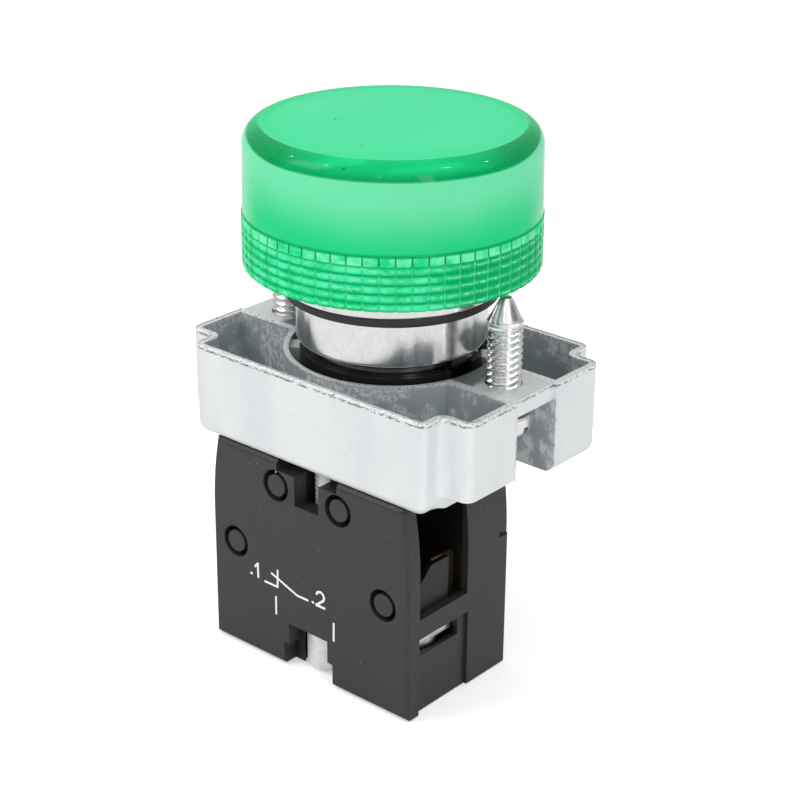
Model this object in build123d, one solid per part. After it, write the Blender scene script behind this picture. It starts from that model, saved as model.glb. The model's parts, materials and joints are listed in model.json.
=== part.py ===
from build123d import *
import os

# Panel pilot light with one contact block, in millimetres.
# z = 0 is the plane where the gasket seats on the panel, and +Z runs along the light axis.
# The printed face of the contact block looks along -Y, and the clamp screws stand at +X and -X.

# Fits
running_gap = 0.08          # screw shanks and the cap on its threaded ring
seat_gap = 0.05             # pieces that seat in each other on one body
loose_gap = 0.2             # pieces that lie loosely in a pocket
through_gap = 0.24          # screws that pass through plastic
least_round = 0.3
tiny = 0.01

# Barrel, bezel and gasket
barrel_radius = 11.0        # for a panel hole of 22 mm
barrel_wall = 1.6
neck_relief = 0.2           # the barrel is thinner under the gasket
barrel_depth = 5.3          # chrome length below the panel seat
skirt_step = 1.0            # barrel to the skirt below it
skirt_depth = 8.5
leg_width = 3.6
gasket_gap = 0.1            # gasket's bore around the barrel
gasket_width = 1.3
gasket_height = 1.2
flange_overhang = 0.4       # beyond the gasket
flange_height = 1.6
thread_ring_lift = 0.8      # flange to the thread ring's foot
thread_ring_height = 5.2
thread_ring_wall = 1.3
bezel_floor = 1.3

# Lens cap
cap_foot_height = 3.6       # panel seat to the cap's lower edge
cap_height = 16.1
cap_radius = 16.95
cap_top_wall = 1.9
cap_wall = 1.85
cap_skirt_wall = 1.75       # outside the thread ring
cap_shoulder = 2.3
cap_draft = 0.25
band_height = 6.2
flute_count = 60
flute_radius = 0.28
flute_depth = 0.16

# Lamp and its socket
socket_body_radius = barrel_radius - barrel_wall - seat_gap
socket_ring_step = 0.4      # the black ring is thinner than the barrel
socket_ring_top = 6.7       # below the panel seat
socket_ring_foot = 14.5
socket_foot = 13.0
socket_ring_overlap = 1.0
socket_top = 0.5
shell_radius = 5.2
shell_wall = 0.45
shell_length = 8.7
shell_slot_width = 2.2
shell_floor_gap = 1.0       # around the centre contact
contact_rise = 0.9          # centre contact above the shell's foot
bulb_base_radius = 4.6
bulb_glass_radius = 4.9
bulb_length = 20.0
bulb_tip_radius = 1.8
bulb_tip_length = 0.9
bulb_base_rise = 2.0        # above the socket
bulb_pin_radius = 0.9
contact_pin_radius = 1.5
riser_inset = 1.3
riser_half_width = 0.7
tab_width = 2.8
tab_thickness = 0.5
tab_length = 6.8
tab_inset = 4.35            # socket's side to the middle of a tab
tab_offset_y = 4.45

# Mounting bracket, a die-cast tray
rim_drop = 6.9              # panel seat to the bracket's rim
bracket_height = 11.0
bracket_length = 42.0
pocket_depth = 2.55         # collar to the tray's front wall
wing_reach = 3.7            # wings beyond the ends of the front face
corner_step = 3.3
corner_round = 1.2
step_round = 1.4
foot_round = 1.4
wing_foot_lift = 1.8        # the front wings end higher
tray_wall = 0.8
tray_floor = 2.0
collar_gap = 0.85           # around the barrel
collar_wall = 0.6
floor_opening_step = 2.8    # barrel to the opening in the floor
key_width = 2.4
key_height = 8.5
key_reach = 0.4             # into the socket's ring
key_angle = 214
screw_gap = 7.0             # channel between the two trays
bridge_thickness = 2.0
bridge_inset = 0.4

# Clamp screws
clamp_screw_radius = 2.0
clamp_screw_clearance = 0.55 # collar to the screw's head
clamp_tip_height = 3.2      # above the panel seat
clamp_cone_height = 2.7
clamp_tip_radius = 0.6
clamp_head_radius = 3.3
clamp_head_height = 2.3
clamp_head_round = 0.7
clamp_head_drop = 1.3       # thread left below the bridge
driver_slot_width = 0.8
driver_slot_depth = 1.1

# Contact block
block_width = 30.6
block_height = 26.5
block_setback = 0.4         # behind the bracket's front
block_clearance = 0.6       # in front of the lamp tabs
side_draw = 1.0             # the sides draw in towards the top
side_draw_height = 9.0
cover_thickness = 2.0
cover_edge = 0.4
cover_lip = 0.2             # the cover stands proud of the housing at the sides
notch_wide = 9.2
notch_shallow = 1.3
notch_slot = 3.7
notch_depth = 4.9
foot_notch_width = 6.1
foot_notch_height = 5.7
foot_notch_step = 0.8
foot_notch_step_height = 2.9
pin_radius = 1.35
pin_hole_radius = 1.95
pin_recess = 0.1
pin_root = 0.5
upper_pin_offset = 4.8
upper_pin_drop = 3.3
lower_pin_offset = 11.5
lower_pin_drop = 12.8
pillar_half_width = 1.9     # post behind each lower pin
pillar_reach = 0.4          # behind the terminal screw's axis
shield_height = 5.4         # plate in front of each contact strip
shield_thickness = 0.6
shield_inset = 8.3          # insets are measured from the cover's face
shield_corner = 3.2
window_inset = 10.6
window_top_wall = 1.1
window_sill = 14.3          # below the block's top
core_half_width = 6.6
core_drop = 8.3
bar_thickness = 2.5
wire_slot_height = 2.5
pocket_height = 4.3
pocket_inner_x = 7.2
pocket_inset = 9.4
pocket_wall = 1.2
side_rebate = 0.4
rebate_inset = 10.8
back_rebate_inset = 14.2
back_rebate_slant = 2.2
back_rebate_depth = 9.5
back_corner_round = 0.6

# Contact mechanism
plunger_width = 4.0
plunger_thickness = 3.8
plunger_inset = 9.1
plunger_rise = 2.7          # above the block's top
plunger_length = 15.8
plunger_guide_gap = 0.1
plunger_round = 0.6
bridge_drop = 9.75          # block's top to the moving bridge
bridge_strip = 0.7
bridge_width = 2.6
bridge_length = 18.8
contact_tip_height = 0.4
contact_tip_length = 2.2
yoke_window_height = 2.6
contact_gap = 0.05
strip_thickness = 0.7
strip_width = 3.6
strip_leg_x = 13.3
strip_shift = 0.7           # towards the cover, off the plunger's axis
strip_inner_x = 5.8
foot_strip_thickness = 0.8
spring_radius = 1.3
spring_wire = 0.4
spring_turns = 5
spring_seat_depth = 7.5
small_spring_radius = 0.85
small_spring_wire = 0.25
small_spring_turns = 3

# Terminals and the block's fixing screw
terminal_x = 11.0
terminal_inset = 5.6
terminal_screw_radius = 1.75
terminal_head_radius = 2.9
terminal_head_height = 2.2
terminal_bore_gap = 0.3
terminal_bore_cover = 0.5   # plastic left over the screw's bore
terminal_tip_gap = 0.2
clamp_plate_thickness = 0.9
clamp_plate_drop = 0.9      # opening left above the clamp plate
plate_grooves = 5
groove_size = 0.35
fixing_inset = 4.0
fixing_radius = 1.75
fixing_head_radius = 2.8
fixing_head_height = 4.7
fixing_head_recess = 0.3
fixing_head_chamfer = 0.3
fixing_tip = 0.5            # above the bracket's floor

# Sizes and levels that follow from those above
neck_radius = barrel_radius - neck_relief
skirt_radius = barrel_radius - skirt_step
gasket_bore = barrel_radius + gasket_gap
gasket_radius = gasket_bore + gasket_width
flange_radius = gasket_radius + flange_overhang
thread_ring_radius = cap_radius - cap_skirt_wall
socket_ring_radius = barrel_radius - socket_ring_step
tab_offset_x = socket_body_radius - tab_inset
collar_radius = barrel_radius + collar_gap
collar_outer = collar_radius + collar_wall
floor_opening_radius = barrel_radius - floor_opening_step
key_radius = socket_ring_radius - key_reach
bracket_depth = 2 * (collar_outer + pocket_depth)
clamp_screw_offset = collar_outer + clamp_screw_clearance + clamp_head_radius
block_front = block_setback - bracket_depth / 2
block_back = tab_offset_y - tab_thickness / 2 - block_clearance
shield_back = block_front + shield_inset
window_back = block_front + window_inset
pocket_back = block_front + pocket_inset
rebate_back = block_front + rebate_inset
back_rebate_front = block_front + back_rebate_inset
plunger_y = block_front + plunger_inset
terminal_y = block_front + terminal_inset
fixing_y = block_front + fixing_inset
flange_top = gasket_height + flange_height
thread_ring_foot = flange_top + thread_ring_lift
thread_ring_top = thread_ring_foot + thread_ring_height
contact_top = socket_top - shell_length + contact_rise
bracket_face = bracket_length - 2 * wing_reach
rim_z = -rim_drop
bracket_foot = rim_z - bracket_height
tray_floor_z = bracket_foot + tray_floor
block_top = bracket_foot
block_foot = block_top - block_height
housing_front = block_front + cover_thickness
cap_top = cap_foot_height + cap_height
sill_z = block_top - window_sill
bar_foot = sill_z - bar_thickness
plunger_top = block_top + plunger_rise
plunger_foot = plunger_top - plunger_length
bridge_top = block_top - bridge_drop
plate_top = bar_foot - clamp_plate_drop
plate_foot = plate_top - clamp_plate_thickness
housing_half_width = block_width / 2 - cover_lip
bridge_bar_top = bridge_top - contact_tip_height
terminal_bore_top = sill_z - terminal_bore_cover
fixing_tip_z = tray_floor_z + fixing_tip
upright = (Align.CENTER, Align.CENTER, Align.MIN)


def disc(radius, low, high, x=0, y=0):
    """Round bar from one height to another."""
    return Pos(x, y, low) * Cylinder(radius, high - low, align=upright)


def ring(outer, inner, low, high, x=0, y=0):
    """Round ring from one height to another."""
    return disc(outer, low, high, x, y) - disc(inner, low, high, x, y)


def slab(x_range, y_range, z_range):
    """Block between two limits along each axis."""
    low = [min(pair) for pair in (x_range, y_range, z_range)]
    high = [max(pair) for pair in (x_range, y_range, z_range)]
    sizes = [b - a for a, b in zip(low, high)]
    return Pos(*low) * Box(*sizes, align=(Align.MIN, Align.MIN, Align.MIN))


def turned(points):
    """Solid of revolution about the light axis, from (radius, height) points."""
    return revolve(Plane.XZ * make_face(Polyline(*points, close=True)), Axis.Z)


def coil(radius, wire, turns, low, high, y):
    """Compression spring between two flat seats."""
    height = high - low - wire
    path = Helix(pitch=height / turns, height=height, radius=radius)
    section = Plane(origin=path @ 0, z_dir=path % 0) * Circle(wire / 2)
    return Pos(0, y, low + wire / 2) * sweep(section, path)


def make_bezel_body():
    bore = barrel_radius - barrel_wall
    cup = thread_ring_radius - thread_ring_wall
    cup_floor = thread_ring_foot + bezel_floor
    body = turned([
        (bore, -skirt_depth), (skirt_radius, -skirt_depth), (skirt_radius, -barrel_depth),
        (barrel_radius, -barrel_depth), (barrel_radius, 0), (neck_radius, 0),
        (neck_radius, gasket_height), (flange_radius, gasket_height), (flange_radius, flange_top),
        (thread_ring_radius, thread_ring_foot), (thread_ring_radius, thread_ring_top),
        (cup, thread_ring_top), (cup, cup_floor), (bore, cup_floor)])
    legs = ring(socket_ring_radius, skirt_radius - seat_gap, -skirt_depth, -barrel_depth)
    span = (-leg_width / 2, leg_width / 2)
    legs &= slab((-barrel_radius, barrel_radius), span, (-skirt_depth, -barrel_depth))
    return body + legs


def make_lens_cap():
    inner = thread_ring_radius + running_gap
    step_z = thread_ring_top + seat_gap
    cavity = cap_radius - cap_wall - cap_draft
    shell = turned([
        (inner, cap_foot_height), (cap_radius, cap_foot_height),
        (cap_radius, cap_foot_height + band_height),
        (cap_radius - cap_draft / 2, cap_foot_height + band_height),
        (cap_radius - cap_draft, cap_top), (0, cap_top), (0, cap_top - cap_top_wall),
        (cavity, cap_top - cap_top_wall), (cavity, step_z), (inner, step_z)])
    top_edge = shell.edges().filter_by(GeomType.CIRCLE).group_by(Axis.Z)[-1].sort_by(SortBy.RADIUS)[-1]
    shell = fillet(top_edge, cap_shoulder)
    flutes = [
        Rotation(0, 0, turn * 360 / flute_count)
        * disc(flute_radius, cap_foot_height, cap_foot_height + band_height,
               cap_radius + flute_radius - flute_depth)
        for turn in range(flute_count)]
    return shell - flutes


def make_panel_gasket():
    return ring(gasket_radius, gasket_bore, 0, gasket_height)


def make_lamp_socket():
    body = disc(socket_body_radius, -socket_foot, socket_top)
    ring_inner = socket_body_radius - socket_ring_overlap
    body += ring(socket_ring_radius, ring_inner, -socket_ring_foot, -socket_ring_top)
    body -= ring(skirt_radius + seat_gap, socket_body_radius, -skirt_depth - seat_gap, -socket_ring_top)
    half_leg = leg_width / 2 + seat_gap
    recess_z = (-skirt_depth - seat_gap, -socket_ring_top)
    for side in (1, -1):
        recess_x = (side * (skirt_radius - barrel_wall / 2), side * barrel_radius)
        body -= slab(recess_x, (-half_leg, half_leg), recess_z)
    body -= collar_keys(loose_gap, barrel_radius, (-socket_ring_foot, -socket_ring_top))
    shell_foot = socket_top - shell_length
    body -= disc(shell_radius + seat_gap, shell_foot, socket_top)
    body -= disc(contact_pin_radius + seat_gap, -socket_foot, shell_foot)
    return body - riser_block(seat_gap, -socket_foot, shell_foot)


def collar_keys(grow, outer, z_range):
    """Two opposite keys of the collar, or with grow the room for them in the socket."""
    half = key_width / 2 + grow
    key = slab((key_radius - grow, outer), (-half, half), z_range)
    return Rotation(0, 0, key_angle) * key + Rotation(0, 0, key_angle + 180) * key


def riser_block(grow, low, high):
    """Passage or post that links the shell to its terminal tab."""
    middle = shell_radius - riser_inset
    half = riser_half_width + grow
    return slab((-middle - half, -middle + half), (-half, half), (low, high))


def make_socket_shell():
    foot = socket_top - shell_length
    top = socket_top
    shell = ring(shell_radius, shell_radius - shell_wall, foot, top)
    shell += ring(shell_radius, contact_pin_radius + shell_floor_gap, foot, foot + shell_wall)
    half = shell_slot_width / 2
    slot = slab((-shell_radius, shell_radius), (-half, half), (top - shell_length / 2, top))
    return shell - slot


def make_centre_contact():
    return disc(contact_pin_radius, -socket_foot, contact_top)


def make_lamp_bulb():
    base_foot = contact_top + bulb_tip_length
    base_top = socket_top + bulb_base_rise
    glass_top = contact_top + bulb_length
    bulb = disc(bulb_tip_radius, contact_top, base_foot)
    bulb += disc(bulb_base_radius, base_foot, base_top)
    bulb += disc(bulb_glass_radius, base_top, glass_top - bulb_glass_radius)
    bulb += Pos(0, 0, glass_top - bulb_glass_radius) * Sphere(bulb_glass_radius)
    pin_z = socket_top - shell_length / 2 + bulb_pin_radius + seat_gap
    pins = Pos(0, 0, pin_z) * Rotation(0, 90, 0) * Cylinder(bulb_pin_radius, 2 * (shell_radius - seat_gap))
    return bulb + pins


def make_lamp_tab(side):
    """Push-on tab below the socket: side 1 joins the centre contact, side -1 the shell."""
    edges = (side * (tab_offset_x - tab_width / 2), side * (tab_offset_x + tab_width / 2))
    blade_y = (tab_offset_y - tab_thickness / 2, tab_offset_y + tab_thickness / 2)
    strap_z = (-socket_foot - tab_thickness, -socket_foot)
    blade = slab(edges, blade_y, (-socket_foot - tab_length, -socket_foot))
    if side > 0:
        strap_x = (-contact_pin_radius, edges[1])
        return blade + slab(strap_x, (-contact_pin_radius, blade_y[1]), strap_z)
    strap_x = (riser_inset + riser_half_width - shell_radius, edges[1])
    strap = slab(strap_x, (-riser_half_width, blade_y[1]), strap_z)
    return blade + strap + riser_block(0, -socket_foot - tab_thickness, socket_top - shell_length)


def bracket_outline(inset):
    """Plan of the bracket, a rectangle with stepped corners, drawn in by a wall."""
    face = Rectangle(bracket_face - 2 * inset, bracket_depth - 2 * inset)
    wings = Rectangle(bracket_length - 2 * inset, bracket_depth - 2 * corner_step - 2 * inset)
    plan = face + wings
    half_face = bracket_face / 2 - inset
    half_wing = bracket_depth / 2 - corner_step - inset
    inner = [v for v in plan.vertices()
             if abs(abs(v.X) - half_face) < tiny and abs(abs(v.Y) - half_wing) < tiny]
    outer = [v for v in plan.vertices() if v not in inner]
    plan = fillet(outer, max(corner_round - inset, least_round))
    inner = [v for v in plan.vertices()
             if abs(abs(v.X) - half_face) < tiny and abs(abs(v.Y) - half_wing) < tiny]
    return fillet(inner, step_round)


def make_mounting_bracket():
    body = Pos(0, 0, bracket_foot) * extrude(bracket_outline(0), bracket_height)
    foot_edges = body.edges().group_by(Axis.Z)[0]
    body = fillet(foot_edges, foot_round)
    tray_edge = screw_gap / 2 + tray_wall
    tray_plan = bracket_outline(tray_wall)
    tray_plan -= Rectangle(bracket_length, 2 * tray_edge)
    tray_plan -= Circle(collar_outer)
    body -= Pos(0, 0, tray_floor_z) * extrude(tray_plan, bracket_height)
    body -= disc(collar_radius, tray_floor_z, rim_z)
    body -= disc(floor_opening_radius, bracket_foot, tray_floor_z)
    end = bracket_length / 2
    channel_y = (-screw_gap / 2, screw_gap / 2)
    for side in (1, -1):
        body -= slab((side * collar_outer, side * end), channel_y, (bracket_foot, rim_z - bridge_thickness))
        body -= slab((side * (end - bridge_inset), side * end), channel_y, (bracket_foot, rim_z))
        body -= disc(clamp_screw_radius + running_gap, bracket_foot, rim_z, side * clamp_screw_offset)
        wing_x = (side * bracket_face / 2, side * (end - tray_wall))
        wing_y = (corner_step - bracket_depth / 2 + tray_wall, -tray_edge)
        body += slab(wing_x, wing_y, (tray_floor_z - tiny, tray_floor_z + wing_foot_lift))
        wing_cut = slab((side * bracket_face / 2, side * end), (-bracket_depth / 2, -screw_gap / 2),
                        (bracket_foot, bracket_foot + wing_foot_lift))
        body -= wing_cut
    body += collar_keys(0, collar_radius + collar_wall / 2, (tray_floor_z, tray_floor_z + key_height))
    return body - disc(fixing_radius + running_gap, bracket_foot, fixing_tip_z + running_gap, 0, fixing_y)


def make_clamp_screw(side):
    head_top = rim_z - bridge_thickness - clamp_head_drop
    cone_foot = clamp_tip_height - clamp_cone_height
    x = side * clamp_screw_offset
    screw = disc(clamp_screw_radius, head_top, cone_foot, x)
    screw += Pos(x, 0, cone_foot) * Cone(
        clamp_screw_radius, clamp_tip_radius, clamp_cone_height, align=upright)
    head = disc(clamp_head_radius, head_top - clamp_head_height, head_top, x)
    head = fillet(head.edges().group_by(Axis.Z)[0], clamp_head_round)
    return screw + head - driver_slot(x, 0, head_top - clamp_head_height, clamp_head_radius)


def driver_slot(x, y, foot, radius):
    """Screwdriver slot in the underside of a screw head."""
    half = driver_slot_width / 2
    return slab((x - radius, x + radius), (y - half, y + half), (foot, foot + driver_slot_depth))


def pin_places():
    """Places (x, z) of the housing's pins that come through the cover."""
    rows = ((upper_pin_offset, upper_pin_drop), (lower_pin_offset, lower_pin_drop))
    return [(side * offset, block_top - drop) for offset, drop in rows for side in (-1, 1)]


def cross_pin(radius, y_range, x, z):
    """Round bar along Y."""
    length = abs(y_range[1] - y_range[0])
    middle = sum(y_range) / 2
    return Pos(x, middle, z) * Rotation(90, 0, 0) * Cylinder(radius, length)


def block_body(half, y_range):
    """Body of the block between two depths: its sides draw in towards the top."""
    full_z = block_top - side_draw_height
    middle = (half - side_draw / 4, block_top - side_draw_height / 2)
    outline = Polyline((half, full_z), (half, block_foot), (-half, block_foot), (-half, full_z))
    outline += ThreePointArc((-half, full_z), (-middle[0], middle[1]), (side_draw - half, block_top))
    outline += Line((side_draw - half, block_top), (half - side_draw, block_top))
    outline += ThreePointArc((half - side_draw, block_top), middle, (half, full_z))
    front = Plane(origin=(0, y_range[0], 0), x_dir=(1, 0, 0), z_dir=(0, -1, 0))
    return extrude(front * make_face(outline), y_range[0] - y_range[1])


def make_contact_cover():
    cover = block_body(block_width / 2, (block_front, housing_front))
    front_edges = cover.faces().sort_by(Axis.Y)[0].edges()
    cover = chamfer(front_edges, cover_edge)
    depth = (block_front, housing_front)
    wide = notch_wide / 2
    slot = notch_slot / 2
    foot = foot_notch_width / 2
    step = foot + foot_notch_step
    cover -= slab((-wide, wide), depth, (block_top - notch_shallow, block_top))
    cover -= slab((-slot, slot), depth, (block_top - notch_depth, block_top))
    cover -= slab((-foot, foot), depth, (block_foot, block_foot + foot_notch_height))
    cover -= slab((-step, step), depth, (block_foot, block_foot + foot_notch_step_height))
    for x, z in pin_places():
        cover -= cross_pin(pin_hole_radius, depth, x, z)
    return cover


def make_contact_housing():
    half = housing_half_width
    body = block_body(half, (housing_front, block_back))
    back_corners = body.faces().sort_by(Axis.Y)[-1].edges().filter_by(Axis.Z)
    body = fillet(back_corners, back_corner_round)
    skin = body - block_body(half - side_rebate, (housing_front, block_back))
    window_z = (sill_z, block_top - window_top_wall)
    for side in (1, -1):
        outer = side * half
        body -= slab((side * core_half_width, outer), (housing_front, window_back), window_z)
        pocket_x = (side * pocket_inner_x, side * (half - pocket_wall))
        pocket_y = (housing_front, pocket_back)
        body -= slab(pocket_x, pocket_y, (bar_foot - pocket_height, bar_foot))
        slot_x = (side * pocket_inner_x, outer)
        body -= slab(slot_x, pocket_y, (bar_foot - wire_slot_height, bar_foot))
        body -= disc(terminal_head_radius + terminal_bore_gap, block_foot, bar_foot,
                     side * terminal_x, terminal_y)
        body -= skin & slab((0, outer), (housing_front, rebate_back), (block_foot, bar_foot))
    back_cut = Polyline(
        (back_rebate_front, block_top), (block_back, block_top),
        (block_back, block_top - back_rebate_depth),
        (back_rebate_front + back_rebate_slant, block_top - back_rebate_depth), close=True)
    body -= skin & (Pos(-half, 0, 0) * extrude(Plane.YZ * make_face(back_cut), 2 * half))
    core = core_half_width
    body -= slab((-core, core), (housing_front, window_back), (sill_z, block_top - core_drop))
    half_width = plunger_width / 2 + plunger_guide_gap
    half_depth = plunger_thickness / 2 + plunger_guide_gap
    well_y = (plunger_y - half_depth, plunger_y + half_depth)
    body -= slab((-half_width, half_width), well_y, (plunger_foot - spring_seat_depth, block_top))
    body -= disc(fixing_radius + through_gap, block_foot, block_top, 0, fixing_y)
    head_top = block_foot + fixing_head_recess + fixing_head_height
    body -= disc(fixing_head_radius + through_gap, block_foot, head_top, 0, fixing_y)
    slot = notch_slot / 2
    body -= slab((-slot, slot), (housing_front, fixing_y), (block_top - notch_depth, block_top))
    for side in (1, -1):
        body -= strip_passage(side)
        body += strip_shield(side)
        pillar_x = (side * (lower_pin_offset - pillar_half_width), side * (half - pocket_wall))
        pillar_y = (housing_front, terminal_y + pillar_reach)
        body += slab(pillar_x, pillar_y, (sill_z, block_top - lower_pin_drop + pin_radius))
    for x, z in pin_places():
        body += cross_pin(pin_radius, (housing_front + pin_root, block_front + pin_recess), x, z)
    return body


def strip_shield(side):
    """Plate that stands on the sill in front of a contact strip, with one corner cut off."""
    top = sill_z + shield_height
    outline = Polyline(
        (housing_front, sill_z), (shield_back, sill_z), (shield_back, top),
        (housing_front + shield_corner, top), (housing_front, top - shield_corner), close=True)
    inner = strip_leg_x + loose_gap
    start = inner if side > 0 else -inner - shield_thickness
    return Pos(start, 0, 0) * extrude(Plane.YZ * make_face(outline), shield_thickness)


def strip_y():
    """Limits along Y of the fixed contact strips."""
    middle = plunger_y - strip_shift
    return (middle - strip_width / 2, middle + strip_width / 2)


def strip_passage(side):
    """Room in the housing for the strip's leg and its threaded foot."""
    leg = (side * (strip_leg_x - strip_thickness - seat_gap), side * (strip_leg_x + seat_gap))
    y_low, y_high = strip_y()
    room = slab(leg, (y_low - seat_gap, y_high + seat_gap), (bar_foot, sill_z))
    foot_x = (side * pocket_inner_x, side * (strip_leg_x + seat_gap))
    foot_y = (housing_front, y_high + seat_gap)
    room += slab(foot_x, foot_y, (bar_foot, bar_foot + foot_strip_thickness + seat_gap))
    bore = terminal_screw_radius + running_gap
    return room + disc(bore, bar_foot, terminal_bore_top, side * terminal_x, terminal_y)


def make_fixed_contact(side):
    y_low, y_high = strip_y()
    leg_x = (side * (strip_leg_x - strip_thickness), side * strip_leg_x)
    arm_low = bridge_top + contact_gap
    arm_z = (arm_low, arm_low + strip_thickness)
    arm = slab((side * strip_inner_x, side * strip_leg_x), (y_low, y_high), arm_z)
    leg = slab(leg_x, (y_low, y_high), (bar_foot, arm_z[1]))
    foot_x = (side * (pocket_inner_x + seat_gap), side * strip_leg_x)
    foot_y = (housing_front + loose_gap, y_high)
    foot = slab(foot_x, foot_y, (bar_foot, bar_foot + foot_strip_thickness))
    foot -= disc(terminal_screw_radius + running_gap, bar_foot, sill_z, side * terminal_x, terminal_y)
    corner = (arm + leg).edges().filter_by(Axis.Y).group_by(Axis.Z)[-1].sort_by(Axis.X)
    bent = fillet(corner[-1] if side > 0 else corner[0], strip_thickness)
    return bent + foot


def make_clamp_plate(side):
    inner = pocket_inner_x + loose_gap
    outer = housing_half_width - pocket_wall - loose_gap / 2
    depth = (housing_front + loose_gap, pocket_back - loose_gap)
    plate = slab((side * inner, side * outer), depth, (plate_foot, plate_top))
    pitch = (depth[1] - depth[0]) / (plate_grooves + 1)
    for count in range(1, plate_grooves + 1):
        y = depth[0] + count * pitch
        groove = Pos(side * (inner + outer) / 2, y, plate_top) * Rotation(45, 0, 0)
        plate -= groove * Box(outer - inner, groove_size, groove_size)
    return plate - disc(terminal_screw_radius + seat_gap, plate_foot, plate_top,
                        side * terminal_x, terminal_y)


def make_terminal_screw(side):
    x = side * terminal_x
    foot = plate_foot - terminal_head_height
    tip = terminal_bore_top - terminal_tip_gap
    screw = disc(terminal_screw_radius, plate_foot, tip, x, terminal_y)
    head = disc(terminal_head_radius, foot, plate_foot, x, terminal_y)
    return screw + head - driver_slot(x, terminal_y, foot, terminal_head_radius)


def make_fixing_screw():
    foot = block_foot + fixing_head_recess
    head_top = foot + fixing_head_height
    screw = disc(fixing_radius, head_top, fixing_tip_z, 0, fixing_y)
    head = disc(fixing_head_radius, foot, head_top, 0, fixing_y)
    head = chamfer(head.edges().group_by(Axis.Z)[-1], fixing_head_chamfer)
    return screw + head - driver_slot(0, fixing_y, foot, fixing_head_radius)


def make_plunger():
    half = plunger_width / 2
    half_depth = plunger_thickness / 2
    depth = (plunger_y - half_depth, plunger_y + half_depth)
    stem = slab((-half, half), depth, (plunger_foot, plunger_top))
    stem = fillet(stem.edges().group_by(Axis.Z)[-1], plunger_round)
    window = bridge_width / 2 + contact_gap
    window_top = bridge_bar_top + contact_gap
    window_z = (window_top - yoke_window_height, window_top)
    return stem - slab((-half, half), (plunger_y - window, plunger_y + window), window_z)


def make_contact_bridge():
    half = bridge_length / 2
    width = (plunger_y - bridge_width / 2, plunger_y + bridge_width / 2)
    bar = slab((-half, half), width, (bridge_bar_top - bridge_strip, bridge_bar_top))
    for side in (1, -1):
        tip_x = (side * (half - contact_tip_length), side * half)
        bar += slab(tip_x, width, (bridge_bar_top, bridge_top))
    return bar


def make_contact_spring():
    return coil(small_spring_radius, small_spring_wire, small_spring_turns,
                bridge_bar_top + contact_gap - yoke_window_height, bridge_bar_top - bridge_strip, plunger_y)


def make_return_spring():
    return coil(spring_radius, spring_wire, spring_turns,
                plunger_foot - spring_seat_depth, plunger_foot, plunger_y)


nodes = {
    "lens_cap": make_lens_cap(),
    "bezel_body": make_bezel_body(),
    "panel_gasket": make_panel_gasket(),
    "lamp_bulb": make_lamp_bulb(),
    "lamp_socket": make_lamp_socket(),
    "socket_shell": make_socket_shell(),
    "centre_contact": make_centre_contact(),
    "lamp_tab_centre": make_lamp_tab(1),
    "lamp_tab_shell": make_lamp_tab(-1),
    "mounting_bracket": make_mounting_bracket(),
    "clamp_screw_right": make_clamp_screw(1),
    "clamp_screw_left": make_clamp_screw(-1),
    "contact_housing": make_contact_housing(),
    "contact_cover": make_contact_cover(),
    "block_fixing_screw": make_fixing_screw(),
    "fixed_contact_right": make_fixed_contact(1),
    "fixed_contact_left": make_fixed_contact(-1),
    "clamp_plate_right": make_clamp_plate(1),
    "clamp_plate_left": make_clamp_plate(-1),
    "terminal_screw_right": make_terminal_screw(1),
    "terminal_screw_left": make_terminal_screw(-1),
    "plunger": make_plunger(),
    "contact_bridge": make_contact_bridge(),
    "contact_spring": make_contact_spring(),
    "return_spring": make_return_spring(),
}

os.makedirs("parts", exist_ok=True)
for name, shape in nodes.items():
    shape.label = name
    export_step(shape, f"parts/{name}.step")
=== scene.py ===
import json
import math
import random

import bmesh
import bpy
from mathutils import Matrix, Vector


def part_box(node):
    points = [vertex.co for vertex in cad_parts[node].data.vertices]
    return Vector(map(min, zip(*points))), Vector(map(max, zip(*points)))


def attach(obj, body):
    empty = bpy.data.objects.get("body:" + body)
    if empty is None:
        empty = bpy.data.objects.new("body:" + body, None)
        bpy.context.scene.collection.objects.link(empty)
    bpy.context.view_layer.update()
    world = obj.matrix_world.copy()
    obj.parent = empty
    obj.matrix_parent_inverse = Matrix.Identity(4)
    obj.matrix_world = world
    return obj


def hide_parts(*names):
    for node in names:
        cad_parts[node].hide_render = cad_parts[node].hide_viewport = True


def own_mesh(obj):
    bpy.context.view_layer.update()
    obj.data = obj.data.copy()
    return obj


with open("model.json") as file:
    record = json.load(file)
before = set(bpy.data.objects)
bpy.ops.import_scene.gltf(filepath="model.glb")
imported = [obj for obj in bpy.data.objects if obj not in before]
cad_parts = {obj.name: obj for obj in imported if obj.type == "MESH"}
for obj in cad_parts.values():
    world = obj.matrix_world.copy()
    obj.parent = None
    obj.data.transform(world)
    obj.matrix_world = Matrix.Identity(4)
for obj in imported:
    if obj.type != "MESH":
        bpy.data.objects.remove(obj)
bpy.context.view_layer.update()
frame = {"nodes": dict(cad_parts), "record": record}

# Sizes below are in millimetres in the frame of the model; MM turns them into metres.
MM = 0.001
seed = random.Random(7)


def node_box(node):
    """Lowest and highest corner of a node of the model, in mm."""
    low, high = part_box(node)
    return low / MM, high / MM


cap_low, cap_high = node_box("lens_cap")
bracket_low, bracket_high = node_box("mounting_bracket")
cover_low, cover_high = node_box("contact_cover")
bezel_low, bezel_high = node_box("bezel_body")
gasket_high = node_box("panel_gasket")[1]
housing_high = node_box("contact_housing")[1]

# Lens cap
cap_foot = cap_low.z
cap_top = cap_high.z
cap_radius = 16.95
cap_draft = 0.25
shoulder = 2.3
side_top = cap_top - shoulder
top_radius = cap_radius - cap_draft
flat_radius = top_radius - shoulder
band_height = 6.2
band_top = cap_foot + band_height
plain_ring = 1.1            # top of the band, above the inner thread
thread_top = band_top - plain_ring
thread_pitch = 1.02
rib_count = 60

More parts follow.
